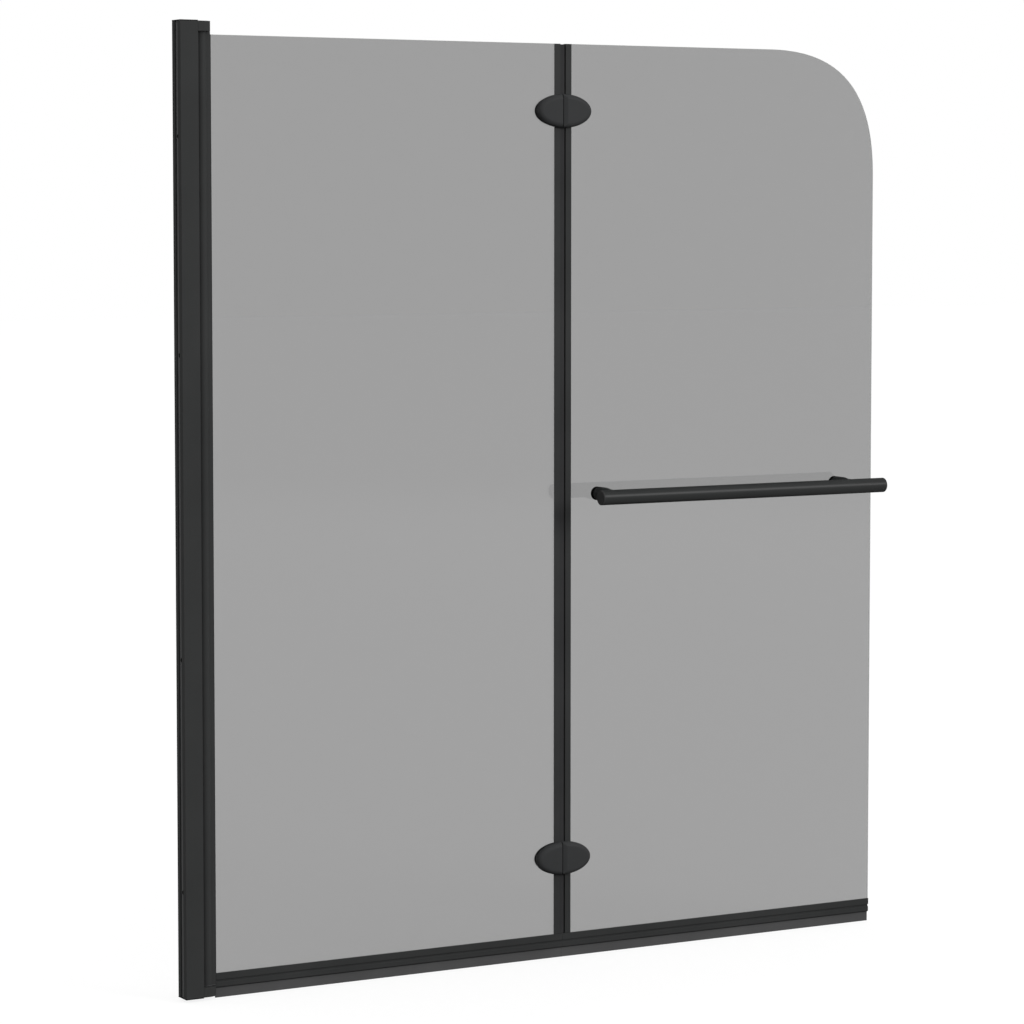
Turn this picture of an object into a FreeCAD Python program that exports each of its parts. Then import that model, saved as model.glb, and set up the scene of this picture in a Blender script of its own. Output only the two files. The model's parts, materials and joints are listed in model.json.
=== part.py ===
import FreeCAD, Part
import math
import os

# A two-panel folding shower screen, in millimetres.
# X runs out from the wall along the glass, +Y is the back of the screen, Z is up.
# The origin is on the wall, at the foot of the wall profile, in the middle of the glass.

# Screen and glass
SCREEN_WIDTH = 1200.0
SCREEN_HEIGHT = 1400.0
GLASS_THICKNESS = 5.0
GLASS_TOP_DROP = 19.6
GLASS_BOTTOM_Z = 24.3
CORNER_REACH = 193.0
CORNER_FULLNESS = 0.68

# Wall profile: a channel that is open away from the wall
PROFILE_DEPTH = 28.0
PROFILE_WIDTH = 28.0
FLANGE_WALL = 2.5
WEB_WALL = 3.0
TRACK_WIDTH = 10.0
TRACK_DEPTH = 2.0
PROFILE_EDGE_ROUND = 0.6
CAP_THICKNESS = 1.4
WALL_HOLE_RADIUS = 3.2
WALL_HOLES_FROM_BOTTOM = (154.0, 490.0)
WALL_HOLES_FROM_TOP = (164.0, 474.0)

# Pivot brackets, pins and bushes
LUG_HEIGHT = 13.9
LUG_END_REACH = 0.4
PLUG_HEIGHT = 32.0
PLUG_SEAL_GAP = 0.25
FIXED_GAP = 0.05
RUNNING_GAP = 0.3
PIVOT_PIN_RADIUS = 3.5
PIVOT_PIN_PLAY = 0.05
PIVOT_PIN_ENGAGEMENT = 20.0
PIN_SEAT_DEPTH = 11.0
BUSH_WALL = 1.5
BUSH_FLANGE = 1.2
BUSH_LENGTH = 24.0
BRACKET_SCREW_RADIUS = 2.0
BRACKET_SCREW_HEAD_RADIUS = 3.8
BRACKET_SCREW_LENGTH = 16.0

# Pivot profile: a round barrel with a glass channel
BARREL_RADIUS = 8.8
BARREL_GAP = 0.7
CHANNEL_REACH = 13.0
CHANNEL_WALL = 1.7
CHANNEL_FLOOR = 1.2
GLAZING_THICKNESS = 0.8
GLAZING_LIP = 0.8
GLASS_EDGE_GAP = 0.5

# Lip seals between the wall profile and the barrel
LIP_SEAL_WALL = 1.8
LIP_SEAL_GRIP = 8.0
LIP_TIP_ANGLE = 47.0
LIP_TIP_WALL = 0.8
LIP_GAP = 0.35

# Seam between the panels
SEAM_RATIO = 0.5263
SEAM_HALF_GAP = 6.2
SEAM_CLIP_GRIP = 8.3
SEAM_CLIP_BACK_GRIP = 4.3
SEAM_CLIP_WEB = 1.5
SEAM_CLIP_WALL = 1.3
BULB_GAP = 0.5
BULB_HALF_WIDTH = 3.2
BULB_TOP_DROP = 0.8
SEAM_LIP_OVERLAP = 1.2
SEAM_LIP_THICKNESS = 1.0

# Hinges: oval covers on the front, leaves and knuckles on the back
HINGE_HALF_WIDTH = 46.8
HINGE_HALF_HEIGHT = 25.2
LOWER_HINGE_FROM_BOTTOM = 148.9
UPPER_HINGE_FROM_TOP = 119.7
HINGE_GASKET = 1.0
GASKET_INSET = 0.6
COVER_HEIGHT = 10.0
COVER_ROUND = 7.5
COVER_SPLIT = 0.6
COVER_SPLIT_SHIFT = 3.4
INNER_SLOPE_WIDTH = 1.8
INNER_SLOPE_DEPTH = 7.0
OUTER_SLOPE_WIDTH = 6.5
OUTER_SLOPE_DEPTH = 2.4
LEAF_HALF_WIDTH = 43.3
LEAF_HALF_HEIGHT = 23.3
LEAF_SPLIT = 1.2
LEAF_THICKNESS = 6.0
LEAF_ROUND = 1.5
FOLD_GAP = 1.0
KNUCKLE_RADIUS = 5.0
KNUCKLE_CLEARANCE = 0.35
KNUCKLE_HALF_LENGTH = 20.0
KNUCKLE_MIDDLE_HALF = 10.0
KNUCKLE_GAP = 0.3
HINGE_PIN_RADIUS = 2.5
HINGE_PIN_PLAY = 0.05
HINGE_PIN_HEAD_RADIUS = 3.6
HINGE_PIN_HEAD = 1.4
HINGE_SCREW_X = 24.0
HINGE_SCREW_Z = 11.0
HINGE_SCREW_RADIUS = 2.5
HINGE_SCREW_HEAD_RADIUS = 4.5
HINGE_SCREW_DEPTH = 6.0
HINGE_GLASS_HOLE_RADIUS = 5.0
SCREW_SOCKET_RADIUS = 1.7
SCREW_SOCKET_DEPTH = 1.6
HEAD_SINK = 0.1
TIP_GAP = 0.5

# Bottom seals: a clip on the glass, a neck, a drip bulge and a fin
SEAL_GRIP = 8.0
SEAL_BACK_GRIP = 6.0
SEAL_CLIP_WALL = 1.7
SEAL_FLOOR = 1.5
SEAL_NECK_HALF_WIDTH = 2.0
SEAL_NECK_HEIGHT = 2.4
BULGE_HALF_WIDTH = 3.8
BULGE_HEIGHT = 9.8
FIN_THICKNESS = 1.6
FIN_OFFSET = 0.3
FIN_DROP = 14.8
FIN_ROOT = 3.0
SEAL_LUG_GAP = 0.3
SEAL_SPLIT = 0.3

# Towel rail on the front of the outer glass
RAIL_Z = 702.3
BAR_FROM_SEAM_EDGE = 17.7
BAR_FROM_FREE_EDGE = 26.5
POST_FROM_BAR_END = 40.6
BAR_RADIUS = 11.3
BAR_WALL = 1.5
BAR_STANDOFF = 72.0
END_CAP_THICKNESS = 2.5
END_CAP_ROUND = 1.5
END_CAP_PLUG = 8.0
POST_RADIUS = 8.5
POST_FOOT_RADIUS = 10.4
POST_FOOT_LENGTH = 16.0
POST_TAPER_LENGTH = 18.0
RAIL_WASHER = 1.0
RAIL_WASHER_INSET = 0.4
RAIL_CAP_THICKNESS = 3.2
RAIL_CAP_ROUND = 1.0
RAIL_BOLT_RADIUS = 3.0
RAIL_BOLT_IN_POST = 22.0
RAIL_BOLT_IN_CAP = 2.0
RAIL_GLASS_HOLE_RADIUS = 6.0

# Places that follow from the sizes above
GLASS_HALF = GLASS_THICKNESS / 2
GLASS_TOP_Z = SCREEN_HEIGHT - GLASS_TOP_DROP
PROFILE_HALF = PROFILE_WIDTH / 2
PIVOT_X = PROFILE_DEPTH + BARREL_GAP + BARREL_RADIUS
LUG_BOTTOM_TOP_Z = CAP_THICKNESS + LUG_HEIGHT
LUG_TOP_BOTTOM_Z = SCREEN_HEIGHT - CAP_THICKNESS - LUG_HEIGHT
BUSH_RADIUS = PIVOT_PIN_RADIUS + PIVOT_PIN_PLAY + BUSH_WALL
PIVOT_BOTTOM_Z = LUG_BOTTOM_TOP_Z + RUNNING_GAP + BUSH_FLANGE
PIVOT_TOP_Z = LUG_TOP_BOTTOM_Z - RUNNING_GAP - BUSH_FLANGE
CHANNEL_END_X = PIVOT_X + CHANNEL_REACH
CHANNEL_START_X = PIVOT_X + BUSH_RADIUS + CHANNEL_FLOOR
CHANNEL_HALF = GLASS_HALF + GLAZING_THICKNESS + CHANNEL_WALL
INNER_GLASS_START_X = CHANNEL_START_X + GLASS_EDGE_GAP
SEAM_X = SCREEN_WIDTH * SEAM_RATIO
INNER_GLASS_END_X = SEAM_X - SEAM_HALF_GAP
OUTER_GLASS_START_X = SEAM_X + SEAM_HALF_GAP
LIP_SEAL_START_X = PROFILE_DEPTH - LIP_SEAL_GRIP
PLUG_START_X = TRACK_DEPTH + WEB_WALL + FIXED_GAP
PLUG_END_X = LIP_SEAL_START_X - PLUG_SEAL_GAP
BRACKET_SCREW_X = (PLUG_START_X + PLUG_END_X) / 2
SEAL_START_X = CHANNEL_END_X + GLAZING_LIP + FIXED_GAP
SEAL_TOP_Z = GLASS_BOTTOM_Z + SEAL_GRIP
SEAL_FLOOR_Z = GLASS_BOTTOM_Z - SEAL_FLOOR
BULGE_BOTTOM_Z = SEAL_FLOOR_Z - SEAL_NECK_HEIGHT - BULGE_HEIGHT
FIN_BOTTOM_Z = BULGE_BOTTOM_Z - FIN_DROP
COVER_BACK_Y = -GLASS_HALF - HINGE_GASKET
COVER_FRONT_Y = COVER_BACK_Y - COVER_HEIGHT
LEAF_FRONT_Y = GLASS_HALF + HINGE_GASKET
LEAF_BACK_Y = LEAF_FRONT_Y + LEAF_THICKNESS
FOLD_Y = LEAF_BACK_Y + FOLD_GAP / 2
HINGE_Z = {
    "upper": SCREEN_HEIGHT - UPPER_HINGE_FROM_TOP,
    "lower": LOWER_HINGE_FROM_BOTTOM,
}
BAR_LEFT_X = OUTER_GLASS_START_X + BAR_FROM_SEAM_EDGE
BAR_RIGHT_X = SCREEN_WIDTH - BAR_FROM_FREE_EDGE
BAR_MIDDLE_X = (BAR_LEFT_X + BAR_RIGHT_X) / 2
POST_XS = (BAR_LEFT_X + POST_FROM_BAR_END, BAR_RIGHT_X - POST_FROM_BAR_END)
BAR_Y = -GLASS_HALF - BAR_STANDOFF
WALL_HOLE_ZS = list(WALL_HOLES_FROM_BOTTOM)
WALL_HOLE_ZS += [SCREEN_HEIGHT - drop for drop in WALL_HOLES_FROM_TOP]

UP = FreeCAD.Vector(0, 0, 1)
BACK = FreeCAD.Vector(0, 1, 0)
ALONG = FreeCAD.Vector(1, 0, 0)

# Two places closer than this count as one when an edge is looked up
SAME_PLACE = 1e-6


def block(x0, x1, y0, y1, z0, z1):
    corner = FreeCAD.Vector(x0, y0, z0)
    return Part.makeBox(x1 - x0, y1 - y0, z1 - z0, corner)


def rod_x(radius, x0, x1, y, z):
    return Part.makeCylinder(radius, x1 - x0, FreeCAD.Vector(x0, y, z), ALONG)


def rod_y(radius, y0, y1, x, z):
    return Part.makeCylinder(radius, y1 - y0, FreeCAD.Vector(x, y0, z), BACK)


def rod_z(radius, z0, z1, x, y):
    return Part.makeCylinder(radius, z1 - z0, FreeCAD.Vector(x, y, z0), UP)


def closed_face(points):
    return Part.Face(Part.makePolygon(points + points[:1]))


def column(section, z0, z1):
    """A plan outline of (x, y) points drawn up from z0 to z1."""
    points = [FreeCAD.Vector(x, y, z0) for x, y in section]
    return closed_face(points).extrude(UP * (z1 - z0))


def strip_x(section, x0, x1):
    """An end outline of (y, z) points drawn along from x0 to x1."""
    points = [FreeCAD.Vector(x0, y, z) for y, z in section]
    return closed_face(points).extrude(ALONG * (x1 - x0))


def oval(half_width, half_height, x, z, y0, y1):
    """An upright oval plate between y0 and y1."""
    ellipse = Part.Ellipse(
        FreeCAD.Vector(x + half_width, y0, z),
        FreeCAD.Vector(x, y0, z + half_height),
        FreeCAD.Vector(x, y0, z),
    )
    face = Part.Face(Part.Wire(ellipse.toShape()))
    return face.extrude(BACK * (y1 - y0))


def edges_at_y(shape, y):
    """The edges that lie wholly in the plane at y."""
    found = []
    for edge in shape.Edges:
        box = edge.BoundBox
        if abs(box.YMin - y) < SAME_PLACE and abs(box.YMax - y) < SAME_PLACE:
            found.append(edge)
    return found


def upright_edges_at(shape, x, y):
    """The upright edges that stand at (x, y)."""
    found = []
    for edge in shape.Edges:
        box = edge.BoundBox
        upright = box.ZLength > SAME_PLACE and max(box.XLength, box.YLength) < SAME_PLACE
        if upright and abs(box.XMin - x) < SAME_PLACE and abs(box.YMin - y) < SAME_PLACE:
            found.append(edge)
    return found


def mirrored_in_z(shape):
    """The same piece at the other end of the wall profile."""
    middle = FreeCAD.Vector(0, 0, SCREEN_HEIGHT / 2)
    return shape.mirror(middle, UP)


def mirrored_in_y(shape):
    return shape.mirror(FreeCAD.Vector(0, 0, 0), BACK)


def save(name, *solids):
    pieces = [solid for shape in solids for solid in shape.Solids]
    shape = pieces[0] if len(pieces) == 1 else Part.makeCompound(pieces)
    shape.exportStep(os.path.join("parts", name + ".step"))


def countersunk(x, z, face_y, tip_y, radius, head_radius, grow=0.0):
    """A countersunk screw sunk into the face at face_y. With grow it is the hole for that screw."""
    head_y = face_y - HEAD_SINK
    neck_y = head_y - (head_radius - radius)
    cone = Part.makeCone(
        radius + grow,
        head_radius + grow,
        head_y - neck_y,
        FreeCAD.Vector(x, neck_y, z),
        BACK,
    )
    screw = cone.fuse(rod_y(radius + grow, tip_y - grow, neck_y, x, z))
    if grow:
        screw = screw.fuse(rod_y(head_radius + grow, head_y, face_y, x, z))
    return screw.removeSplitter()


def hex_socket(x, z, head_y):
    corners = []
    for step in range(6):
        turn = math.radians(60 * step)
        across = SCREW_SOCKET_RADIUS * math.cos(turn)
        rise = SCREW_SOCKET_RADIUS * math.sin(turn)
        corners.append(FreeCAD.Vector(x + across, head_y, z + rise))
    return closed_face(corners).extrude(BACK * -SCREW_SOCKET_DEPTH)


def wall_profile():
    web_x = TRACK_DEPTH + WEB_WALL
    inner_half = PROFILE_HALF - FLANGE_WALL
    z0 = CAP_THICKNESS
    z1 = SCREEN_HEIGHT - CAP_THICKNESS
    body = block(0, PROFILE_DEPTH, -PROFILE_HALF, PROFILE_HALF, z0, z1)
    corners = []
    for x in (0, PROFILE_DEPTH):
        for y in (-PROFILE_HALF, PROFILE_HALF):
            corners += upright_edges_at(body, x, y)
    body = body.makeFillet(PROFILE_EDGE_ROUND, corners)
    body = body.cut(block(web_x, PROFILE_DEPTH, -inner_half, inner_half, z0, z1))
    body = body.cut(block(0, TRACK_DEPTH, -TRACK_WIDTH / 2, TRACK_WIDTH / 2, z0, z1))
    for z in WALL_HOLE_ZS:
        body = body.cut(rod_x(WALL_HOLE_RADIUS, TRACK_DEPTH, web_x, 0, z))
    for z in bracket_screw_zs():
        body = body.cut(bracket_screw(z, FIXED_GAP))
    save("wall_profile", body)


def wall_caps():
    cap = block(0, PROFILE_DEPTH, -PROFILE_HALF, PROFILE_HALF, 0, CAP_THICKNESS)
    corners = []
    for y in (-PROFILE_HALF, PROFILE_HALF):
        corners += upright_edges_at(cap, PROFILE_DEPTH, y)
    cap = cap.makeFillet(PROFILE_EDGE_ROUND, corners)
    save("wall_cap_bottom", cap)
    save("wall_cap_top", mirrored_in_z(cap))


def bracket_screw_zs():
    low = CAP_THICKNESS + (LUG_HEIGHT + PLUG_HEIGHT) / 2
    return (low, SCREEN_HEIGHT - low)


def bracket_screw(z, grow=0.0):
    tip_y = PROFILE_HALF - BRACKET_SCREW_LENGTH
    return countersunk(
        BRACKET_SCREW_X,
        z,
        PROFILE_HALF,
        tip_y,
        BRACKET_SCREW_RADIUS,
        BRACKET_SCREW_HEAD_RADIUS,
        grow,
    )


def pivot_brackets():
    """A plug inside the wall profile and a round-ended lug that stands out over the barrel."""
    z0 = CAP_THICKNESS
    plug_half = PROFILE_HALF - FLANGE_WALL - FIXED_GAP
    lug_z = z0 + LUG_HEIGHT
    plug = block(PLUG_START_X, PLUG_END_X, -plug_half, plug_half, z0, z0 + PLUG_HEIGHT)
    neck = block(PLUG_START_X, PROFILE_DEPTH, -plug_half, plug_half, z0, lug_z)
    end_z = z0 - LUG_END_REACH
    lug = block(PROFILE_DEPTH + FIXED_GAP, PIVOT_X, -PROFILE_HALF, PROFILE_HALF, end_z, lug_z)
    lug = lug.fuse(rod_z(PROFILE_HALF, end_z, lug_z, PIVOT_X, 0)).removeSplitter()
    cap_end = PROFILE_DEPTH + FIXED_GAP
    lug = lug.cut(block(0, cap_end, -PROFILE_HALF, PROFILE_HALF, end_z, z0))
    bridge = block(PROFILE_DEPTH, PIVOT_X, -plug_half, plug_half, z0, lug_z)
    bracket = plug.fuse([neck, bridge, lug]).removeSplitter()
    seat = rod_z(PIVOT_PIN_RADIUS + FIXED_GAP, lug_z - PIN_SEAT_DEPTH, lug_z, PIVOT_X, 0)
    bracket = bracket.cut(seat)
    bracket = bracket.cut(bracket_screw(bracket_screw_zs()[0], FIXED_GAP))
    save("pivot_bracket_bottom", bracket)
    save("pivot_bracket_top", mirrored_in_z(bracket))

    pin_z0 = lug_z - PIN_SEAT_DEPTH + FIXED_GAP
    pin = rod_z(PIVOT_PIN_RADIUS, pin_z0, lug_z + PIVOT_PIN_ENGAGEMENT, PIVOT_X, 0)
    save("pivot_pin_bottom", pin)
    save("pivot_pin_top", mirrored_in_z(pin))

    screws = []
    for z in bracket_screw_zs():
        socket = hex_socket(BRACKET_SCREW_X, z, PROFILE_HALF - HEAD_SINK)
        screws.append(bracket_screw(z).cut(socket))
    save("bracket_screws", *screws)


def wall_lip_seals():
    """Soft strips inside the flanges, each with a lip that follows the barrel closely."""
    outer_y = PROFILE_HALF - FLANGE_WALL - FIXED_GAP
    inner_y = outer_y - LIP_SEAL_WALL
    tip_radius = BARREL_RADIUS + LIP_GAP
    tip_turn = math.radians(LIP_TIP_ANGLE)
    tip_x = PIVOT_X - tip_radius * math.cos(tip_turn)
    tip_y = tip_radius * math.sin(tip_turn)
    section = [
        (LIP_SEAL_START_X, outer_y),
        (PROFILE_DEPTH, outer_y),
        (tip_x, tip_y + LIP_TIP_WALL),
        (tip_x, tip_y),
        (tip_x - LIP_TIP_WALL, tip_y),
        (PROFILE_DEPTH - LIP_SEAL_WALL, inner_y),
        (LIP_SEAL_START_X, inner_y),
    ]
    z0 = CAP_THICKNESS + LUG_HEIGHT + FIXED_GAP
    back = column(section, z0, SCREEN_HEIGHT - z0)
    save("wall_lip_seals", back, mirrored_in_y(back))


def barrel_and_channel(z0, z1):
    """The outline of the pivot profile, filled in."""
    barrel = rod_z(BARREL_RADIUS, z0, z1, PIVOT_X, 0)
    channel = block(PIVOT_X, CHANNEL_END_X, -CHANNEL_HALF, CHANNEL_HALF, z0, z1)
    return barrel.fuse(channel).removeSplitter()


def pivot_profile():
    """The turning profile, and at each end a bush whose flange closes the end of it."""
    bore_radius = BUSH_RADIUS + FIXED_GAP
    slot_half = GLASS_HALF + GLAZING_THICKNESS
    z0 = PIVOT_BOTTOM_Z
    z1 = PIVOT_TOP_Z
    body = barrel_and_channel(z0, z1)
    body = body.cut(block(CHANNEL_START_X, CHANNEL_END_X, -slot_half, slot_half, z0, z1))
    body = body.cut(rod_z(bore_radius, z0, z1, PIVOT_X, 0))
    save("pivot_profile", body)

    sleeve = rod_z(BUSH_RADIUS, z0, z0 + BUSH_LENGTH, PIVOT_X, 0)
    bush = sleeve.fuse(barrel_and_channel(z0 - BUSH_FLANGE, z0)).removeSplitter()
    hole = rod_z(
        PIVOT_PIN_RADIUS + PIVOT_PIN_PLAY, z0 - BUSH_FLANGE, z0 + BUSH_LENGTH, PIVOT_X, 0
    )
    bush = bush.cut(hole)
    save("pivot_bush_bottom", bush)
    save("pivot_bush_top", mirrored_in_z(bush))


def glazing_gaskets():
    """Strips between glass and channel, each with a lip over the end of the channel wall."""
    inner_y = GLASS_HALF
    outer_y = GLASS_HALF + GLAZING_THICKNESS
    section = [
        (INNER_GLASS_START_X, inner_y),
        (CHANNEL_END_X + GLAZING_LIP, inner_y),
        (CHANNEL_END_X + GLAZING_LIP, CHANNEL_HALF),
        (CHANNEL_END_X, CHANNEL_HALF),
        (CHANNEL_END_X, outer_y),
        (INNER_GLASS_START_X, outer_y),
    ]
    back = column(section, GLASS_BOTTOM_Z, GLASS_TOP_Z)
    save("glazing_gasket_back", back)
    save("glazing_gasket_front", mirrored_in_y(back))


def hinge_screw_places(side):
    """The (x, z) of each screw of one half of both hinges. Side is -1 inner or +1 outer."""
    places = []
    for centre in HINGE_Z.values():
        for rise in (-HINGE_SCREW_Z, HINGE_SCREW_Z):
            places.append((SEAM_X + side * HINGE_SCREW_X, centre + rise))
    return places


def drilled(glass, places, radius):
    for x, z in places:
        glass = glass.cut(rod_y(radius, -GLASS_HALF, GLASS_HALF, x, z))
    return glass


def inner_glass():
    glass = block(
        INNER_GLASS_START_X,
        INNER_GLASS_END_X,
        -GLASS_HALF,
        GLASS_HALF,
        GLASS_BOTTOM_Z,
        GLASS_TOP_Z,
    )
    save("inner_glass", drilled(glass, hinge_screw_places(-1), HINGE_GLASS_HOLE_RADIUS))


def outer_glass():
    """A pane whose free top corner is one smooth curve."""
    y = -GLASS_HALF
    handle = CORNER_REACH * (1 - CORNER_FULLNESS)
    left = OUTER_GLASS_START_X
    right = SCREEN_WIDTH
    top = GLASS_TOP_Z
    curve_start = FreeCAD.Vector(right, y, top - CORNER_REACH)
    curve_end = FreeCAD.Vector(right - CORNER_REACH, y, top)
    curve = Part.BezierCurve()
    curve.setPoles([
        curve_start,
        FreeCAD.Vector(right, y, top - handle),
        FreeCAD.Vector(right - handle, y, top),
        curve_end,
    ])
    foot_left = FreeCAD.Vector(left, y, GLASS_BOTTOM_Z)
    foot_right = FreeCAD.Vector(right, y, GLASS_BOTTOM_Z)
    head_left = FreeCAD.Vector(left, y, top)
    edges = [
        Part.makeLine(foot_left, foot_right),
        Part.makeLine(foot_right, curve_start),
        curve.toShape(),
        Part.makeLine(curve_end, head_left),
        Part.makeLine(head_left, foot_left),
    ]
    glass = Part.Face(Part.Wire(edges)).extrude(BACK * GLASS_THICKNESS)
    glass = drilled(glass, hinge_screw_places(1), HINGE_GLASS_HOLE_RADIUS)
    glass = drilled(glass, [(x, RAIL_Z) for x in POST_XS], RAIL_GLASS_HOLE_RADIUS)
    save("outer_glass", glass)


def hinge_clearance():
    """The oval rooms that the covers and the leaves need in the seam clips, in front and behind."""
    front_halves = (HINGE_HALF_WIDTH + FIXED_GAP, HINGE_HALF_HEIGHT + FIXED_GAP)
    back_halves = (LEAF_HALF_WIDTH + FIXED_GAP, LEAF_HALF_HEIGHT + FIXED_GAP)
    rooms = []
    for centre in HINGE_Z.values():
        rooms.append(oval(*front_halves, SEAM_X, centre, COVER_FRONT_Y, -GLASS_HALF))
        rooms.append(oval(*back_halves, SEAM_X, centre, GLASS_HALF, LEAF_BACK_Y))
    return rooms


def seam_clip(side):
    """A stiff U strip on the free edge of one pane."""
    edge = SEAM_X + side * SEAM_HALF_GAP
    web = edge - side * SEAM_CLIP_WEB
    grip = edge + side * SEAM_CLIP_GRIP
    back_grip = edge + side * SEAM_CLIP_BACK_GRIP
    outer_half = GLASS_HALF + SEAM_CLIP_WALL
    section = [
        (web, -outer_half),
        (grip, -outer_half),
        (grip, -GLASS_HALF),
        (edge, -GLASS_HALF),
        (edge, GLASS_HALF),
        (back_grip, GLASS_HALF),
        (back_grip, outer_half),
        (web, outer_half),
    ]
    return column(section, SEAL_TOP_Z + RUNNING_GAP, GLASS_TOP_Z)


def seam_strips():
    """Clips that make room for the hinges, a soft bulb that runs on between covers and leaves,
    and a lip on the outer clip that closes the gap behind the bulb."""
    rooms = hinge_clearance()
    save("inner_seam_clip", seam_clip(-1).cut(rooms))
    save("outer_seam_clip", seam_clip(1).cut(rooms))

    root_x = INNER_GLASS_END_X + SEAM_CLIP_WEB
    clip_x = OUTER_GLASS_START_X - SEAM_CLIP_WEB
    end_x = clip_x - BULB_GAP
    nose_x = end_x - BULB_HALF_WIDTH
    z0 = SEAL_TOP_Z + RUNNING_GAP
    z1 = GLASS_TOP_Z - BULB_TOP_DROP
    bulb = block(root_x, nose_x, -BULB_HALF_WIDTH, BULB_HALF_WIDTH, z0, z1)
    bulb = bulb.fuse(rod_z(BULB_HALF_WIDTH, z0, z1, nose_x, 0)).removeSplitter()
    save("seam_bulb", bulb)

    lip_x = end_x - SEAM_LIP_OVERLAP
    back_y = GLASS_HALF + SEAM_CLIP_WALL
    lip = block(lip_x, clip_x - FIXED_GAP, back_y - SEAM_LIP_THICKNESS, back_y, z0, z1)
    save("seam_lip", lip.cut(rooms))


def half_oval(side, centre, halves, y0, y1, inner_gap, rounded_y=None, rounding=0.0):
    """The part of an upright oval plate beyond inner_gap from the seam, on one side of it.

    A negative inner_gap reaches over the seam. Halves are the oval's half width and half height.
    The curved edge in the plane at rounded_y, if one is given, is rounded over.
    """
    half_width, half_height = halves
    ellipse = Part.Ellipse(
        FreeCAD.Vector(SEAM_X + half_width, y0, centre),
        FreeCAD.Vector(SEAM_X, y0, centre + half_height),
        FreeCAD.Vector(SEAM_X, y0, centre),
    )
    end_turn = math.acos(inner_gap / half_width)
    arc = Part.ArcOfEllipse(ellipse, -end_turn, end_turn).toShape()
    chord = Part.makeLine(arc.Vertexes[1].Point, arc.Vertexes[0].Point)
    plate = Part.Face(Part.Wire([arc, chord])).extrude(BACK * (y1 - y0))
    if rounded_y is not None:
        curved = max(edges_at_y(plate, rounded_y), key=lambda edge: edge.Length)
        plate = plate.makeFillet(rounding, [curved])
    return plate if side > 0 else plate.mirror(FreeCAD.Vector(SEAM_X, 0, 0), ALONG)


def hinge_cover(side, centre):
    """A front cover, about half an oval, with a rounded rim and a sloping inner edge.

    The split between the covers lies a little way from the seam, towards the inner panel.
    """
    inner_gap = COVER_SPLIT / 2 - side * COVER_SPLIT_SHIFT
    slope_width = OUTER_SLOPE_WIDTH if side > 0 else INNER_SLOPE_WIDTH
    slope_depth = OUTER_SLOPE_DEPTH if side > 0 else INNER_SLOPE_DEPTH
    cover = half_oval(
        side,
        centre,
        (HINGE_HALF_WIDTH, HINGE_HALF_HEIGHT),
        COVER_FRONT_Y,
        COVER_BACK_Y,
        inner_gap,
        COVER_FRONT_Y,
        COVER_ROUND,
    )
    edge = SEAM_X + side * inner_gap
    slope = [
        (edge, COVER_FRONT_Y),
        (edge + side * slope_width, COVER_FRONT_Y),
        (edge, COVER_FRONT_Y + slope_depth),
    ]
    cover = cover.cut(column(slope, centre - HINGE_HALF_HEIGHT, centre + HINGE_HALF_HEIGHT))
    x = SEAM_X + side * HINGE_SCREW_X
    tip_y = COVER_BACK_Y - HINGE_SCREW_DEPTH - TIP_GAP
    for rise in (-HINGE_SCREW_Z, HINGE_SCREW_Z):
        hole = rod_y(HINGE_SCREW_RADIUS + FIXED_GAP, tip_y, COVER_BACK_Y, x, centre + rise)
        cover = cover.cut(hole)
    return cover


def hinge_screw(x, z, grow=0.0):
    tip_y = COVER_BACK_Y - HINGE_SCREW_DEPTH
    return countersunk(
        x, z, LEAF_BACK_Y, tip_y, HINGE_SCREW_RADIUS, HINGE_SCREW_HEAD_RADIUS, grow
    )


def knuckles(side, centre, radius, gap):
    """The knuckles of one leaf: two end ones on the inner leaf, one middle one on the outer."""
    if side > 0:
        reach = KNUCKLE_MIDDLE_HALF + gap
        return [rod_z(radius, centre - reach, centre + reach, SEAM_X, FOLD_Y)]
    near = KNUCKLE_MIDDLE_HALF + KNUCKLE_GAP - gap
    far = KNUCKLE_HALF_LENGTH + gap
    return [
        rod_z(radius, centre - far, centre - near, SEAM_X, FOLD_Y),
        rod_z(radius, centre + near, centre + far, SEAM_X, FOLD_Y),
    ]


def hinge_leaf(side, centre):
    """A half-oval back plate with its knuckles, cleared for the knuckles of the other leaf."""
    leaf = half_oval(
        side,
        centre,
        (LEAF_HALF_WIDTH, LEAF_HALF_HEIGHT),
        LEAF_FRONT_Y,
        LEAF_BACK_Y,
        LEAF_SPLIT / 2,
        LEAF_BACK_Y,
        LEAF_ROUND,
    )
    leaf = leaf.cut(knuckles(-side, centre, KNUCKLE_RADIUS + KNUCKLE_CLEARANCE, KNUCKLE_GAP))
    head_room = rod_z(
        HINGE_PIN_HEAD_RADIUS + KNUCKLE_CLEARANCE,
        centre + KNUCKLE_HALF_LENGTH,
        centre + LEAF_HALF_HEIGHT,
        SEAM_X,
        FOLD_Y,
    )
    leaf = leaf.cut(head_room)
    leaf = leaf.fuse(knuckles(side, centre, KNUCKLE_RADIUS, 0)).removeSplitter()
    play = HINGE_PIN_PLAY if side > 0 else FIXED_GAP
    bore = rod_z(
        HINGE_PIN_RADIUS + play,
        centre - KNUCKLE_HALF_LENGTH,
        centre + KNUCKLE_HALF_LENGTH,
        SEAM_X,
        FOLD_Y,
    )
    leaf = leaf.cut(bore)
    for rise in (-HINGE_SCREW_Z, HINGE_SCREW_Z):
        place_x = SEAM_X + side * HINGE_SCREW_X
        leaf = leaf.cut(hinge_screw(place_x, centre + rise, FIXED_GAP))
    return leaf


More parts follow.
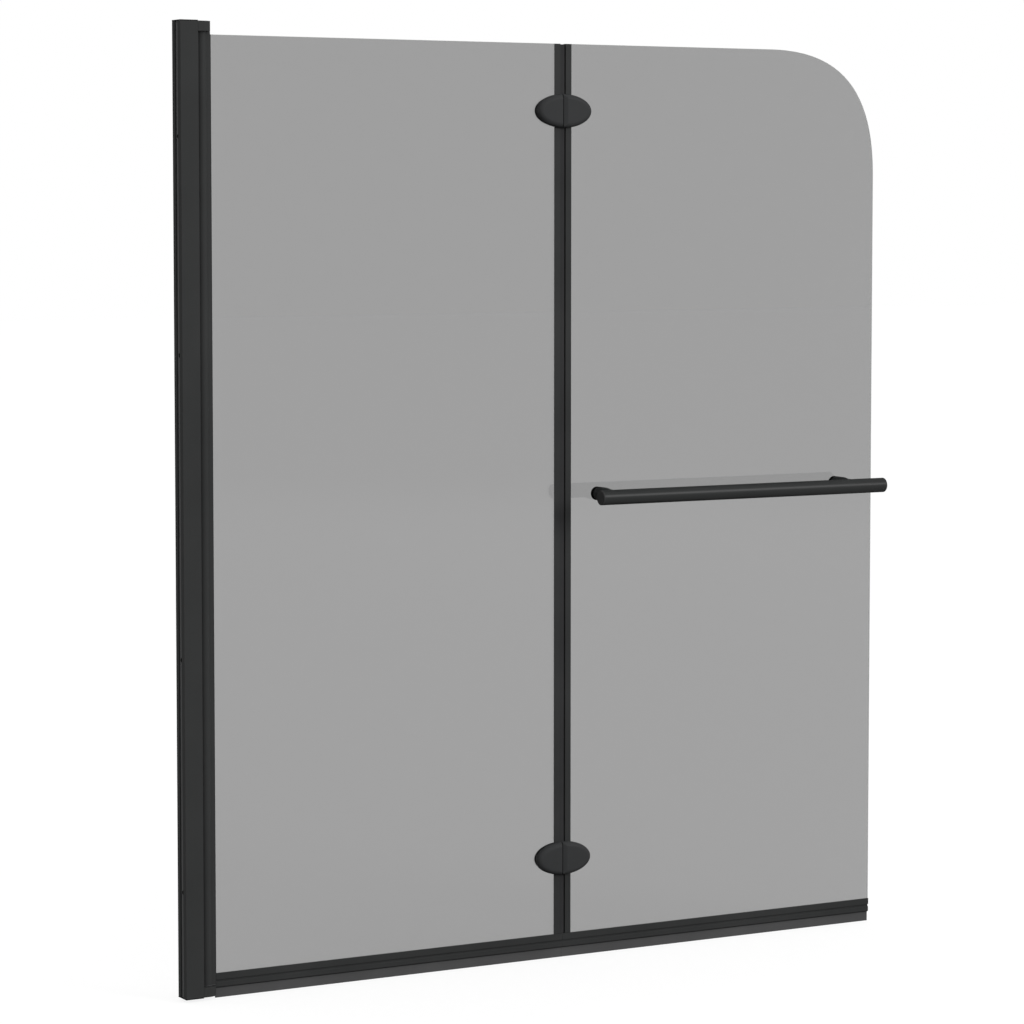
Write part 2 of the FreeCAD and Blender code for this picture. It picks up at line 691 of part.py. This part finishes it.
def hinge_gaskets(side, centre):
    """Pads on both faces of the glass. The front pad has collars that line the glass holes."""
    front_halves = (HINGE_HALF_WIDTH - GASKET_INSET, HINGE_HALF_HEIGHT - GASKET_INSET)
    back_halves = (LEAF_HALF_WIDTH - GASKET_INSET, LEAF_HALF_HEIGHT - GASKET_INSET)
    front = half_oval(side, centre, front_halves, COVER_BACK_Y, -GLASS_HALF, SEAM_HALF_GAP)
    back = half_oval(side, centre, back_halves, GLASS_HALF, LEAF_FRONT_Y, SEAM_HALF_GAP)
    x = SEAM_X + side * HINGE_SCREW_X
    for rise in (-HINGE_SCREW_Z, HINGE_SCREW_Z):
        z = centre + rise
        collar_radius = HINGE_GLASS_HOLE_RADIUS - FIXED_GAP
        collar = rod_y(collar_radius, -GLASS_HALF, GLASS_HALF - FIXED_GAP, x, z)
        hole = rod_y(HINGE_SCREW_RADIUS + FIXED_GAP, COVER_BACK_Y, LEAF_FRONT_Y, x, z)
        front = front.fuse(collar).removeSplitter().cut(hole)
        back = back.cut(hole)
    return front, back


def hinges():
    for level, centre in HINGE_Z.items():
        for panel, side in (("inner", -1), ("outer", 1)):
            name = level + "_" + panel
            save(name + "_cover", hinge_cover(side, centre))
            save(name + "_leaf", hinge_leaf(side, centre))
            save(name + "_gaskets", *hinge_gaskets(side, centre))
            screws = []
            for rise in (-HINGE_SCREW_Z, HINGE_SCREW_Z):
                x = SEAM_X + side * HINGE_SCREW_X
                socket = hex_socket(x, centre + rise, LEAF_BACK_Y - HEAD_SINK)
                screws.append(hinge_screw(x, centre + rise).cut(socket))
            save(name + "_screws", *screws)
        foot = centre - KNUCKLE_HALF_LENGTH
        top = centre + KNUCKLE_HALF_LENGTH
        pin = rod_z(HINGE_PIN_RADIUS, foot, top, SEAM_X, FOLD_Y)
        head = rod_z(HINGE_PIN_HEAD_RADIUS, top, top + HINGE_PIN_HEAD, SEAM_X, FOLD_Y)
        save(level + "_hinge_pin", pin.fuse(head).removeSplitter())


def bottom_seal(panel, x0, x1, glass_x0, glass_x1):
    """A clip on the lower glass edge with a drip bulge, and a fin in a slot under the bulge.

    Where the seal comes up to the lower lug, its end follows the round of the lug in front,
    and is square behind, so that it can swing past the flat side of the lug.
    """
    clip_half = GLASS_HALF + SEAL_CLIP_WALL
    back_top_z = GLASS_BOTTOM_Z + SEAL_BACK_GRIP
    neck_z = SEAL_FLOOR_Z - SEAL_NECK_HEIGHT
    bulge_z = BULGE_BOTTOM_Z
    shoulder = BULGE_HALF_WIDTH - SEAL_NECK_HALF_WIDTH
    section = [
        (-clip_half, SEAL_TOP_Z),
        (-clip_half, SEAL_FLOOR_Z),
        (-SEAL_NECK_HALF_WIDTH, SEAL_FLOOR_Z),
        (-SEAL_NECK_HALF_WIDTH, neck_z),
        (-BULGE_HALF_WIDTH, neck_z - shoulder),
        (-BULGE_HALF_WIDTH, bulge_z + shoulder),
        (-SEAL_NECK_HALF_WIDTH, bulge_z),
        (SEAL_NECK_HALF_WIDTH, bulge_z),
        (BULGE_HALF_WIDTH, bulge_z + shoulder),
        (BULGE_HALF_WIDTH, neck_z - shoulder),
        (SEAL_NECK_HALF_WIDTH, neck_z),
        (SEAL_NECK_HALF_WIDTH, SEAL_FLOOR_Z),
        (clip_half, SEAL_FLOOR_Z),
        (clip_half, back_top_z),
        (GLASS_HALF, back_top_z),
        (GLASS_HALF, SEAL_TOP_Z),
    ]
    clip = strip_x(section, x0, x1)
    glass_slot = block(glass_x0, glass_x1, -GLASS_HALF, GLASS_HALF, GLASS_BOTTOM_Z, SEAL_TOP_Z)
    fin_front = FIN_OFFSET - FIN_THICKNESS / 2
    fin_back = FIN_OFFSET + FIN_THICKNESS / 2
    root_z = bulge_z + FIN_ROOT
    fin_slot = block(
        x0, x1, fin_front - FIXED_GAP, fin_back + FIXED_GAP, bulge_z, root_z + FIXED_GAP
    )
    lug_reach = PROFILE_HALF + SEAL_LUG_GAP
    lug_room = rod_z(lug_reach, FIN_BOTTOM_Z, SEAL_TOP_Z, PIVOT_X, 0)
    square_end = PIVOT_X + lug_reach
    lug_room = lug_room.fuse(block(PIVOT_X, square_end, 0, clip_half, FIN_BOTTOM_Z, SEAL_TOP_Z))
    fin = block(x0, x1, fin_front, fin_back, FIN_BOTTOM_Z, root_z)
    save(panel + "_bottom_clip", clip.cut([glass_slot, fin_slot, lug_room]))
    save(panel + "_bottom_fin", fin.cut(lug_room))


def bottom_seals():
    split = SEAL_SPLIT / 2
    bottom_seal("inner", SEAL_START_X, SEAM_X - split, SEAL_START_X, INNER_GLASS_END_X)
    bottom_seal("outer", SEAM_X + split, SCREEN_WIDTH, OUTER_GLASS_START_X, SCREEN_WIDTH)


def towel_bar():
    tube_left = BAR_LEFT_X + END_CAP_THICKNESS
    tube_right = BAR_RIGHT_X - END_CAP_THICKNESS
    tube = rod_x(BAR_RADIUS, tube_left, tube_right, BAR_Y, RAIL_Z)
    bore_radius = BAR_RADIUS - BAR_WALL
    save("towel_bar", tube.cut(rod_x(bore_radius, tube_left, tube_right, BAR_Y, RAIL_Z)))

    disc = rod_x(BAR_RADIUS, BAR_LEFT_X, tube_left, BAR_Y, RAIL_Z)
    rim = [edge for edge in disc.Edges if edge.BoundBox.XMax < BAR_LEFT_X + FIXED_GAP]
    disc = disc.makeFillet(END_CAP_ROUND, rim)
    plug_radius = bore_radius - FIXED_GAP
    plug = rod_x(plug_radius, tube_left, tube_left + END_CAP_PLUG, BAR_Y, RAIL_Z)
    cap = disc.fuse(plug).removeSplitter()
    save("bar_end_cap_left", cap)
    save("bar_end_cap_right", cap.mirror(FreeCAD.Vector(BAR_MIDDLE_X, 0, 0), ALONG))


def rail_post(x):
    """A round post with a wider foot on the glass and a saddle against the bar."""
    foot_y = -GLASS_HALF - RAIL_WASHER
    taper_y = foot_y - POST_FOOT_LENGTH
    stem_y = taper_y - POST_TAPER_LENGTH
    middle_y = (taper_y + stem_y) / 2
    taper = Part.BezierCurve()
    taper.setPoles([
        FreeCAD.Vector(x + POST_FOOT_RADIUS, taper_y, RAIL_Z),
        FreeCAD.Vector(x + POST_FOOT_RADIUS, middle_y, RAIL_Z),
        FreeCAD.Vector(x + POST_RADIUS, middle_y, RAIL_Z),
        FreeCAD.Vector(x + POST_RADIUS, stem_y, RAIL_Z),
    ])
    axis_foot = FreeCAD.Vector(x, foot_y, RAIL_Z)
    axis_end = FreeCAD.Vector(x, BAR_Y, RAIL_Z)
    foot_rim = FreeCAD.Vector(x + POST_FOOT_RADIUS, foot_y, RAIL_Z)
    stem_end = FreeCAD.Vector(x + POST_RADIUS, BAR_Y, RAIL_Z)
    edges = [
        Part.makeLine(axis_foot, foot_rim),
        Part.makeLine(foot_rim, taper.getPole(1)),
        taper.toShape(),
        Part.makeLine(taper.getPole(4), stem_end),
        Part.makeLine(stem_end, axis_end),
        Part.makeLine(axis_end, axis_foot),
    ]
    post = Part.Face(Part.Wire(edges)).revolve(axis_foot, BACK, 360)
    saddle_radius = BAR_RADIUS + FIXED_GAP
    saddle = rod_x(saddle_radius, x - POST_FOOT_RADIUS, x + POST_FOOT_RADIUS, BAR_Y, RAIL_Z)
    tip_y = foot_y - RAIL_BOLT_IN_POST - TIP_GAP
    bolt_hole = rod_y(RAIL_BOLT_RADIUS + FIXED_GAP, tip_y, foot_y, x, RAIL_Z)
    return post.cut([saddle, bolt_hole])


def rail_fixings():
    foot_y = -GLASS_HALF - RAIL_WASHER
    cap_y = GLASS_HALF + RAIL_WASHER
    cap_back_y = cap_y + RAIL_CAP_THICKNESS
    washer_radius = POST_FOOT_RADIUS - RAIL_WASHER_INSET
    hole_radius = RAIL_BOLT_RADIUS + FIXED_GAP
    front_washers = []
    back_washers = []
    caps = []
    bolts = []
    for x in POST_XS:
        hole = rod_y(hole_radius, foot_y, cap_y + RAIL_BOLT_IN_CAP + TIP_GAP, x, RAIL_Z)
        collar_radius = RAIL_GLASS_HOLE_RADIUS - FIXED_GAP
        collar = rod_y(collar_radius, -GLASS_HALF, GLASS_HALF - FIXED_GAP, x, RAIL_Z)
        washer = rod_y(washer_radius, foot_y, -GLASS_HALF, x, RAIL_Z)
        front_washers.append(washer.fuse(collar).removeSplitter().cut(hole))
        back_washers.append(rod_y(washer_radius, GLASS_HALF, cap_y, x, RAIL_Z).cut(hole))
        cap = rod_y(POST_FOOT_RADIUS, cap_y, cap_back_y, x, RAIL_Z)
        cap = cap.makeFillet(RAIL_CAP_ROUND, edges_at_y(cap, cap_back_y))
        caps.append(cap.cut(hole))
        bolts.append(
            rod_y(
                RAIL_BOLT_RADIUS,
                foot_y - RAIL_BOLT_IN_POST,
                cap_y + RAIL_BOLT_IN_CAP,
                x,
                RAIL_Z,
            )
        )
    save("rail_front_washers", *front_washers)
    save("rail_back_washers", *back_washers)
    save("rail_back_caps", *caps)
    save("rail_bolts", *bolts)


def towel_rail():
    towel_bar()
    for name, x in zip(("rail_post_left", "rail_post_right"), POST_XS):
        save(name, rail_post(x))
    rail_fixings()


os.makedirs("parts", exist_ok=True)
wall_profile()
wall_caps()
pivot_brackets()
wall_lip_seals()
pivot_profile()
glazing_gaskets()
inner_glass()
outer_glass()
seam_strips()
hinges()
bottom_seals()
towel_rail()
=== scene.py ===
import json
import math
import bpy
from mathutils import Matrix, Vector


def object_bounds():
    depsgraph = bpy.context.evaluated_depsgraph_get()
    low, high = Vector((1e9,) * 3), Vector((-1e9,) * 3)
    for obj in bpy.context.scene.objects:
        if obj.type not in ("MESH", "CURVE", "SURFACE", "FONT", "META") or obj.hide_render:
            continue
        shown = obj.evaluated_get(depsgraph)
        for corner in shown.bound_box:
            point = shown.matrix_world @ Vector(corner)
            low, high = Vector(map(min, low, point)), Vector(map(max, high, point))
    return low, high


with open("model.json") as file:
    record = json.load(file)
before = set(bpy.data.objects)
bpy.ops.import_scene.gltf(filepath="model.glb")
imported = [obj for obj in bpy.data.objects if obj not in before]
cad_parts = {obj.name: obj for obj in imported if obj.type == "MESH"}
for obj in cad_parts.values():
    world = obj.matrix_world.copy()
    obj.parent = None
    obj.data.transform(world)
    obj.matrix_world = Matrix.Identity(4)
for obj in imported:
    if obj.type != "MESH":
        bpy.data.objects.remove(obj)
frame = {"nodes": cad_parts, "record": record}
cad_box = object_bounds()
nodes = frame["nodes"]

# Camera, found from the photograph's perspective, for a square picture. Unturned, a camera looks down.
CAMERA_PLACE = (-2.104, -4.659, 1.131)
CAMERA_TURN_DEG = 29.627
CAMERA_LEVEL_DEG = 90.0
CAMERA_TILT_DEG = -4.153
CAMERA_LENS_MM = 126.004
CAMERA_SHIFT_Y = -0.04
CAMERA_REACH = 200.0

# Light. AMBIENT is what the world gives a matt surface; rays that show the background see white.
AMBIENT = 0.9
KEY_PLACE = (5.1, -6.9, 4.0)
KEY_TARGET = (0.6, 0.0, 0.7)
KEY_SIZE = 3.3
KEY_WATTS = 370.0

# Floor: a matt grey that catches the shadow, with a glow that makes it white where it is seen
FLOOR_MIDDLE = (0.6, 0.0, cad_box[0].z)
FLOOR_HALF = 30.0
FLOOR_ALBEDO = 0.18
FLOOR_GLOW = 0.842

# Glass: the share of light that a pane lets through, before reflection, and its faint waviness
GLASS_TINT = 0.318
GLASS_IOR = 1.5
WAVE_SCALE = 3.0
WAVE_DETAIL = 1.0
WAVE_DEPTH = 0.0002
WAVE_STRENGTH = 0.2

# The track in the wall side of the wall profile and the screw holes from it into the channel, by how far
# they reach from the wall and to each side of the middle. The track is painted paler than the coat as
# painted light, and the holes are painted near black as painted shade.
TRACK_HALF = 0.0048
TRACK_END = 0.0022
TRACK_PAINTED_LIGHT = (0.100, 0.100, 0.101, 1.0)
HOLE_END = 0.0048
HOLE_PAINTED_SHADE = (0.002, 0.002, 0.002, 1.0)

# Noise lies mostly between these two values
NOISE_LOW = 0.3
NOISE_HIGH = 0.7
NOISE_ROUGHNESS = 0.55

# What all coated finishes share: a slow change of colour, a fine grain, and no reflection below the coat
CLOUD_SCALE = 9.0
CLOUD_DETAIL = 4.0
GRAIN_DETAIL = 2.0
GRAIN_STRENGTH = 0.5
NO_REFLECTION_IOR = 1.0

# How the grain is stretched: by scales along X, Y and Z
EVEN_GRAIN = (1.0, 1.0, 1.0)
ALONG_X = (0.02, 1.0, 1.0)
ALONG_Z = (1.0, 1.0, 0.02)

# The powder coat of the extruded and cast pieces at the wall
POWDER_COAT = dict(
    dark=(0.036, 0.037, 0.037),
    light=(0.041, 0.042, 0.042),
    rough=(0.40, 0.52),
    grain_scale=900.0,
    grain_depth=0.00006,
    gloss=0.06,
)

# Each coated finish: its darkest and lightest colour, the range of its roughness, and its grain
COATED_LOOKS = {
    "profile_black": POWDER_COAT,
    "wall_profile": POWDER_COAT,
    "bracket_black": POWDER_COAT,
    "hinge_black": dict(
        dark=(0.037, 0.038, 0.039),
        light=(0.042, 0.043, 0.044),
        rough=(0.34, 0.44),
        grain_scale=1000.0,
        grain_depth=0.00005,
        gloss=0.05,
    ),
    # The rail is painted darker than the powder coat of the other pieces: painted shade on the bar
    "rail_black": dict(
        dark=(0.021, 0.022, 0.022),
        light=(0.025, 0.026, 0.026),
        rough=(0.30, 0.38),
        grain_scale=1100.0,
        grain_depth=0.00004,
        gloss=0.055,
        coat_ior=2.5,
    ),
    "cap_black": dict(
        dark=(0.036, 0.036, 0.037),
        light=(0.041, 0.041, 0.042),
        rough=(0.45, 0.60),
        grain_scale=1400.0,
        grain_depth=0.00005,
    ),
    "seal_clip": dict(
        dark=(0.029, 0.030, 0.030),
        light=(0.036, 0.037, 0.037),
        rough=(0.35, 0.50),
        grain_scale=700.0,
        grain_depth=0.00004,
        grain=ALONG_X,
    ),
    "seam_clip": dict(
        dark=(0.027, 0.028, 0.028),
        light=(0.034, 0.035, 0.035),
        rough=(0.35, 0.50),
        grain_scale=700.0,
        grain_depth=0.00004,
        grain=ALONG_Z,
    ),
    "soft_seal": dict(
        dark=(0.026, 0.026, 0.027),
        light=(0.034, 0.034, 0.035),
        rough=(0.60, 0.75),
        grain_scale=600.0,
        grain_depth=0.00005,
    ),
    "fin": dict(
        dark=(0.069, 0.069, 0.070),
        light=(0.086, 0.086, 0.087),
        rough=(0.60, 0.75),
        grain_scale=600.0,
        grain_depth=0.00005,
        grain=ALONG_X,
    ),
    "gasket": dict(
        dark=(0.014, 0.014, 0.015),
        light=(0.019, 0.019, 0.020),
        rough=(0.60, 0.75),
        grain_scale=600.0,
        grain_depth=0.00005,
        grain=ALONG_Z,
    ),
    # The wall caps are painted near black: painted shade for the shaded gap at the top of the wall
    # profile
    "wall_cap": dict(
        dark=(0.005, 0.005, 0.005),
        light=(0.008, 0.008, 0.008),
        rough=(0.50, 0.62),
        grain_scale=1400.0,
        grain_depth=0.00005,
        gloss=0.06,
    ),
    "pad": dict(
        dark=(0.018, 0.018, 0.018),
        light=(0.024, 0.024, 0.024),
        rough=(0.65, 0.80),
        grain_scale=800.0,
        grain_depth=0.00005,
    ),
    # The nylon bushes are painted lighter than black nylon: painted light that lifts the shade under the
    # lugs
    "nylon": dict(
        dark=(0.058, 0.058, 0.060),
        light=(0.068, 0.068, 0.070),
        rough=(0.40, 0.50),
        grain_scale=900.0,
        grain_depth=0.00003,
    ),
    "steel": dict(
        dark=(0.40, 0.40, 0.41),
        light=(0.48, 0.48, 0.49),
        rough=(0.28, 0.42),
        grain_scale=1200.0,
        grain_depth=0.00002,
        gloss=0.0,
        metal=1.0,
    ),
}

# Pieces whose look differs from that of the others in their slot, by a part of their name. The wall caps
# carry painted shade, and the wall profile carries a painted light track with painted shade in its
# holes.
SPECIAL_LOOKS = {
    "_seam_clip": "seam_clip",
    "_bottom_fin": "fin",
    "glazing_gasket": "gasket",
    "wall_cap": "wall_cap",
    "wall_profile": "wall_profile",
}


def grey(level):
    return (level, level, level, 1.0)


WHITE = grey(1.0)


def new_material(name):
    material = bpy.data.materials.new(name)
    material.use_nodes = True
    tree = material.node_tree
    tree.nodes.clear()
    output = tree.nodes.new("ShaderNodeOutputMaterial")
    return material, tree, output


def add(tree, kind, **inputs):
    """A new node with some of its inputs set. An underscore in a name stands for a space."""
    node = tree.nodes.new(kind)
    for name, value in inputs.items():
        node.inputs[name.replace("_", " ")].default_value = value
    return node


def add_math(tree, operation, first, second=None):
    """The result of a math node. First is an output of another node, second an output or a number."""
    node = tree.nodes.new("ShaderNodeMath")
    node.operation = operation
    tree.links.new(first, node.inputs[0])
    if isinstance(second, float):
        node.inputs[1].default_value = second
    elif second is not None:
        tree.links.new(second, node.inputs[1])
    return node.outputs[0]


def object_noise(tree, scale, detail, stretch=EVEN_GRAIN):
    """Noise in the object's own metres, so that it stays on the piece when the piece moves."""
    place = tree.nodes.new("ShaderNodeTexCoord")
    mapping = add(tree, "ShaderNodeMapping", Scale=stretch)
    noise = add(tree, "ShaderNodeTexNoise", Scale=scale, Detail=detail, Roughness=NOISE_ROUGHNESS)
    tree.links.new(place.outputs["Object"], mapping.inputs["Vector"])
    tree.links.new(mapping.outputs["Vector"], noise.inputs["Vector"])
    return noise.outputs["Fac"]


def spread(tree, noise, low, high):
    """Noise spread out from low to high."""
    node = add(
        tree,
        "ShaderNodeMapRange",
        From_Min=NOISE_LOW,
        From_Max=NOISE_HIGH,
        To_Min=low,
        To_Max=high,
    )
    tree.links.new(noise, node.inputs["Value"])
    return node.outputs["Result"]


def colour_between(tree, noise, dark, light):
    ramp = tree.nodes.new("ShaderNodeValToRGB")
    stops = ((NOISE_LOW, dark), (NOISE_HIGH, light))
    for element, (position, colour) in zip(ramp.color_ramp.elements, stops):
        element.position = position
        element.color = (*colour, 1.0)
    tree.links.new(noise, ramp.inputs["Fac"])
    return ramp.outputs["Color"]


def bumped(tree, height, depth, strength):
    node = add(tree, "ShaderNodeBump", Strength=strength, Distance=depth)
    tree.links.new(height, node.inputs["Height"])
    return node.outputs["Normal"]


def coated(
    name,
    dark,
    light,
    rough,
    grain_scale,
    grain_depth,
    grain=EVEN_GRAIN,
    gloss=0.12,
    coat_ior=1.5,
    metal=0.0,
):
    """A satin or matt finish: cloudy, uneven colour with a fine grain, under a thin coat."""
    material, tree, output = new_material(name)
    shader = add(
        tree,
        "ShaderNodeBsdfPrincipled",
        IOR=NO_REFLECTION_IOR,
        Metallic=metal,
        Coat_Weight=gloss,
        Coat_IOR=coat_ior,
        Coat_Roughness=sum(rough) / len(rough),
    )
    cloud = object_noise(tree, CLOUD_SCALE, CLOUD_DETAIL)
    fine = object_noise(tree, grain_scale, GRAIN_DETAIL, grain)
    raised = bumped(tree, fine, grain_depth, GRAIN_STRENGTH)
    tree.links.new(colour_between(tree, cloud, dark, light), shader.inputs["Base Color"])
    tree.links.new(spread(tree, fine, *rough), shader.inputs["Roughness"])
    for layer in ("Normal", "Coat Normal"):
        tree.links.new(raised, shader.inputs[layer])
    tree.links.new(shader.outputs["BSDF"], output.inputs["Surface"])
    return material


def paint_track_light_and_hole_shade(material):
    """Paints light into the track in the wall side of the wall profile, paler than the coat, and paints
    shade into its holes, darker.
    """
    tree = material.node_tree
    shader = tree.nodes["Principled BSDF"]
    colour = shader.inputs["Base Color"].links[0].from_socket
    place = tree.nodes.new("ShaderNodeTexCoord")
    axes = tree.nodes.new("ShaderNodeSeparateXYZ")
    tree.links.new(place.outputs["Object"], axes.inputs["Vector"])
    off_middle = add_math(tree, "ABSOLUTE", axes.outputs["Y"])
    in_track = add_math(tree, "LESS_THAN", off_middle, TRACK_HALF)
    # painted shade in the screw holes, then painted light on the track floor
    for end, painted_colour in ((HOLE_END, HOLE_PAINTED_SHADE), (TRACK_END, TRACK_PAINTED_LIGHT)):
        near_wall = add_math(tree, "LESS_THAN", axes.outputs["X"], end)
        mix = add(tree, "ShaderNodeMixRGB", Color2=painted_colour)
        tree.links.new(add_math(tree, "MULTIPLY", near_wall, in_track), mix.inputs["Fac"])
        tree.links.new(colour, mix.inputs["Color1"])
        colour = mix.outputs["Color"]
    tree.links.new(colour, shader.inputs["Base Color"])


def tinted_glass(name):
    """Grey float glass with a faint waviness. Light from the lamp passes straight through it.

    Such light meets both faces of a pane, so each face takes the square root of the tint.
    """
    material, tree, output = new_material(name)
    shader = add(
        tree,
        "ShaderNodeBsdfPrincipled",
        Base_Color=grey(GLASS_TINT),
        Roughness=0.0,
        IOR=GLASS_IOR,
        Transmission_Weight=1.0,
    )
    wave = object_noise(tree, WAVE_SCALE, WAVE_DETAIL)
    tree.links.new(bumped(tree, wave, WAVE_DEPTH, WAVE_STRENGTH), shader.inputs["Normal"])
    clear = add(tree, "ShaderNodeBsdfTransparent", Color=grey(math.sqrt(GLASS_TINT)))
    path = tree.nodes.new("ShaderNodeLightPath")
    mix = tree.nodes.new("ShaderNodeMixShader")
    tree.links.new(path.outputs["Is Shadow Ray"], mix.inputs["Fac"])
    tree.links.new(shader.outputs["BSDF"], mix.inputs[1])
    tree.links.new(clear.outputs["BSDF"], mix.inputs[2])
    tree.links.new(mix.outputs["Shader"], output.inputs["Surface"])
    return material


def finish_pieces():
    finishes = {name: coated(name, **look) for name, look in COATED_LOOKS.items()}
    # painted light on the wall profile's track, painted shade in its screw holes
    paint_track_light_and_hole_shade(finishes["wall_profile"])
    finishes["tinted_glass"] = tinted_glass("tinted_glass")
    for subpart in frame["record"]["subparts"]:
        name = subpart["node"]
        look = subpart["material_slot"]
        for part_of_name, special in SPECIAL_LOOKS.items():
            if part_of_name in name:
                look = special
        nodes[name].data.materials.clear()
        nodes[name].data.materials.append(finishes[look])


def shows_background(tree):
    """1 for the rays that show the background: seen directly, in a reflection or through glass."""
    path = tree.nodes.new("ShaderNodeLightPath")
    total = path.outputs["Is Camera Ray"]
    for name in ("Is Glossy Ray", "Is Transmission Ray"):
        total = add_math(tree, "MAXIMUM", total, path.outputs[name])
    return total


def background_level(tree, other_rays, background_rays):
    """A strength for the rays that show the background, and another for all other rays."""
    level = add(tree, "ShaderNodeMapRange", To_Min=other_rays, To_Max=background_rays)
    tree.links.new(shows_background(tree), level.inputs["Value"])
    return level.outputs["Result"]


def make_world():
    world = bpy.data.worlds.new("studio")
    world.use_nodes = True
    tree = world.node_tree
    tree.nodes.clear()
    output = tree.nodes.new("ShaderNodeOutputWorld")
    background = add(tree, "ShaderNodeBackground", Color=WHITE)
    tree.links.new(background_level(tree, AMBIENT, 1.0), background.inputs["Strength"])
    tree.links.new(background.outputs["Background"], output.inputs["Surface"])
    bpy.context.scene.world = world


def make_floor():
    bpy.ops.mesh.primitive_plane_add(size=2 * FLOOR_HALF, location=FLOOR_MIDDLE)
    floor = bpy.context.object
    floor.name = "floor"
    material, tree, output = new_material("floor_white")
    matt = add(tree, "ShaderNodeBsdfDiffuse", Color=grey(FLOOR_ALBEDO))
    glow = add(tree, "ShaderNodeEmission", Color=WHITE)
    both = tree.nodes.new("ShaderNodeAddShader")
    tree.links.new(background_level(tree, 0.0, FLOOR_GLOW), glow.inputs["Strength"])
    tree.links.new(matt.outputs["BSDF"], both.inputs[0])
    tree.links.new(glow.outputs["Emission"], both.inputs[1])
    tree.links.new(both.outputs["Shader"], output.inputs["Surface"])
    floor.data.materials.append(material)


def make_key_light():
    lamp = bpy.data.lights.new("key", "AREA")
    lamp.size = KEY_SIZE
    lamp.energy = KEY_WATTS
    light = bpy.data.objects.new("key", lamp)
    light.location = KEY_PLACE
    aim = Vector(KEY_TARGET) - Vector(KEY_PLACE)
    light.rotation_euler = aim.to_track_quat("-Z", "Y").to_euler()
    bpy.context.scene.collection.objects.link(light)


def make_camera():
    lens = bpy.data.cameras.new("camera")
    lens.lens = CAMERA_LENS_MM
    lens.shift_y = CAMERA_SHIFT_Y
    lens.clip_end = CAMERA_REACH
    camera = bpy.data.objects.new("camera", lens)
    camera.location = CAMERA_PLACE
    camera.rotation_euler = (
        math.radians(CAMERA_LEVEL_DEG + CAMERA_TILT_DEG),
        0.0,
        -math.radians(CAMERA_TURN_DEG),
    )
    bpy.context.scene.collection.objects.link(camera)
    bpy.context.scene.camera = camera


finish_pieces()
make_world()
make_floor()
make_key_light()
make_camera()
bpy.context.scene.view_settings.view_transform = "Standard"
